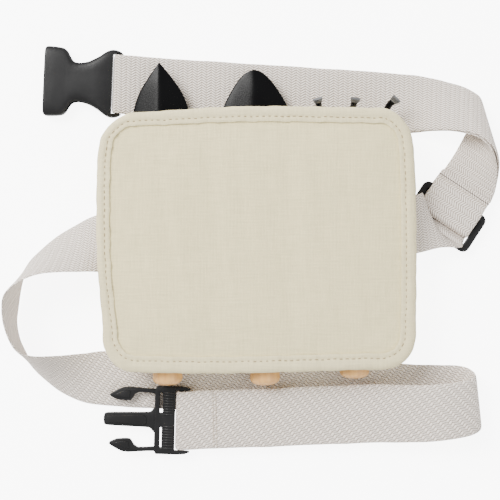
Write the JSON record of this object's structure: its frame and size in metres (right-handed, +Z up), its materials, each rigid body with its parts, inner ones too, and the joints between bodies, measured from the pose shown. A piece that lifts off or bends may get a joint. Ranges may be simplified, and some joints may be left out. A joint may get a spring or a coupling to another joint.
{
  "type": "garden tool belt",
  "caption": "Child's canvas garden tool belt with a padded panel, sleeves for small hand tools, webbing waist strap, side-release buckle and slider, lying face down.",
  "frame": {"origin": "on the surface it lies on, below the middle of the whole belt's box", "axes": "+X along the belt's top run from the buckle's socket towards the slider, +Y towards the tool heads, +Z up from the surface, out of the padded panel's back face"},
  "size_m": [0.3178, 0.2674, 0.0386],
  "materials": {
    "canvas": "natural cotton canvas, plain weave",
    "foam": "soft quilt padding",
    "webbing": "off-white cotton webbing, zigzag weave",
    "moulded_plastic": "black moulded plastic, satin",
    "black_paint": "black paint on pressed steel, semi-gloss",
    "ferrule_steel": "plain drawn steel",
    "handle_wood": "light hardwood, clear lacquer"
  },
  "bodies": {
    "pouch": {"back_panel": "canvas", "panel_padding": "foam", "front_panel": "canvas", "panel_binding": "canvas", "tool_pocket": "canvas", "pocket_hem": "canvas", "left_strap": "webbing", "right_strap": "webbing", "strap_slider": "moulded_plastic"},
    "socket": {"buckle_socket": "moulded_plastic", "socket_bar": "moulded_plastic"},
    "plug": {"buckle_plug": "moulded_plastic", "plug_bar": "moulded_plastic"},
    "latch_upper": {"latch_arm_upper": "moulded_plastic"},
    "latch_lower": {"latch_arm_lower": "moulded_plastic"},
    "trowel": {"trowel_blade": "black_paint", "trowel_shank": "black_paint", "trowel_ferrule": "ferrule_steel", "trowel_handle": "handle_wood"},
    "shovel": {"shovel_blade": "black_paint", "shovel_shank": "black_paint", "shovel_ferrule": "ferrule_steel", "shovel_handle": "handle_wood"},
    "cultivator": {"cultivator_tines": "black_paint", "cultivator_shank": "black_paint", "cultivator_ferrule": "ferrule_steel", "cultivator_handle": "handle_wood"}
  },
  "joints": [
    {"name": "trowel_slide", "type": "slide", "parent": "pouch", "child": "trowel", "axis": [-0.0262, 0.9997, 0], "range_m": [0, 0.13]},
    {"name": "shovel_slide", "type": "slide", "parent": "pouch", "child": "shovel", "axis": [-0.0366, 0.9993, 0], "range_m": [0, 0.13]},
    {"name": "cultivator_slide", "type": "slide", "parent": "pouch", "child": "cultivator", "axis": [-0.007, 1, 0], "range_m": [0, 0.13]},
    {"name": "socket_turn", "type": "hinge", "parent": "pouch", "child": "socket", "pos_m": [-0.0879, 0.1088, 0.0049], "axis": [0.0436, 0.999, 0], "range_deg": [0, 60]},
    {"name": "plug_turn", "type": "hinge", "parent": "pouch", "child": "plug", "pos_m": [-0.0467, -0.1116, 0.0056], "axis": [0.0262, 0.9997, 0], "range_deg": [0, 20]},
    {"name": "latch_upper_flex", "type": "hinge", "parent": "plug", "child": "latch_upper", "pos_m": [-0.0637, -0.09215, 0.0056], "axis": [0, 0, 1], "range_deg": [0, 7], "stiffness_Nm_per_rad": 0.3},
    {"name": "latch_lower_flex", "type": "hinge", "parent": "plug", "child": "latch_lower", "pos_m": [-0.06469, -0.13014, 0.0056], "axis": [0, 0, -1], "range_deg": [0, 7], "stiffness_Nm_per_rad": 0.3}
  ]
}
